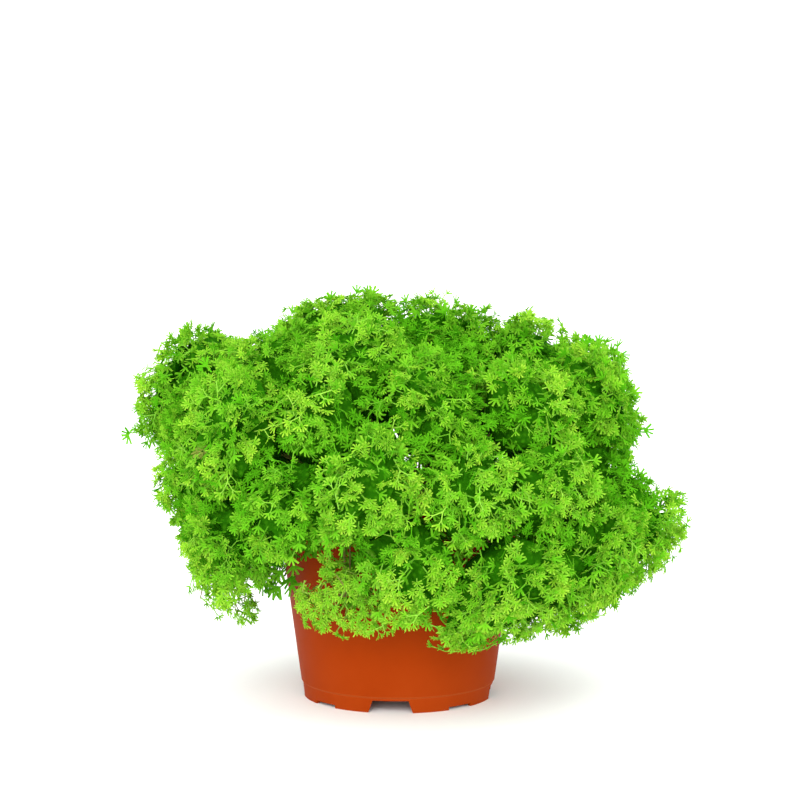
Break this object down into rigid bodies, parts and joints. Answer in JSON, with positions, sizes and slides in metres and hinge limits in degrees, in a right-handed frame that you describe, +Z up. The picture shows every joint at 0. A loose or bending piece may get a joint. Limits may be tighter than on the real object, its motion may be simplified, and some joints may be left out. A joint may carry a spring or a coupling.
{
  "type": "potted house plant",
  "caption": "Spikemoss house plant: a low bushy mound of feathery green sprays in a round tapered terracotta-coloured plastic nursery pot with soil.",
  "frame": {"origin": "middle of the pot's foot, on the surface that it stands on, which is the bottom centre of the object's box within 2 mm", "axes": "+Z up; -Y is the side that faces the viewer in the picture; +X is to the viewer's right"},
  "size_m": [0.2653, 0.2362, 0.1917],
  "materials": {
    "pot_plastic": "satin",
    "soil": "matte",
    "foliage": "matte"
  },
  "bodies": {
    "root": {"pot": "pot_plastic", "soil": "soil", "spray_crown_01": "foliage", "spray_crown_02": "foliage", "spray_crown_03": "foliage", "spray_crown_04": "foliage", "spray_crown_05": "foliage", "spray_upper_01": "foliage", "spray_upper_02": "foliage", "spray_upper_03": "foliage", "spray_upper_04": "foliage", "spray_upper_05": "foliage", "spray_upper_06": "foliage", "spray_upper_07": "foliage", "spray_upper_08": "foliage", "spray_upper_09": "foliage", "spray_upper_10": "foliage", "spray_upper_11": "foliage", "spray_upper_12": "foliage", "spray_shoulder_01": "foliage", "spray_shoulder_02": "foliage", "spray_shoulder_03": "foliage", "spray_shoulder_04": "foliage", "spray_shoulder_05": "foliage", "spray_shoulder_06": "foliage", "spray_shoulder_07": "foliage", "spray_shoulder_08": "foliage", "spray_shoulder_09": "foliage", "spray_shoulder_10": "foliage", "spray_shoulder_11": "foliage", "spray_shoulder_12": "foliage", "spray_skirt_01": "foliage", "spray_skirt_02": "foliage", "spray_skirt_03": "foliage", "spray_skirt_04": "foliage", "spray_skirt_05": "foliage", "spray_skirt_06": "foliage", "spray_skirt_07": "foliage", "spray_skirt_08": "foliage", "spray_skirt_09": "foliage", "spray_skirt_10": "foliage", "spray_skirt_11": "foliage", "spray_trailing_01": "foliage", "spray_trailing_02": "foliage", "spray_trailing_03": "foliage", "spray_trailing_04": "foliage"}
  },
  "joints": []
}
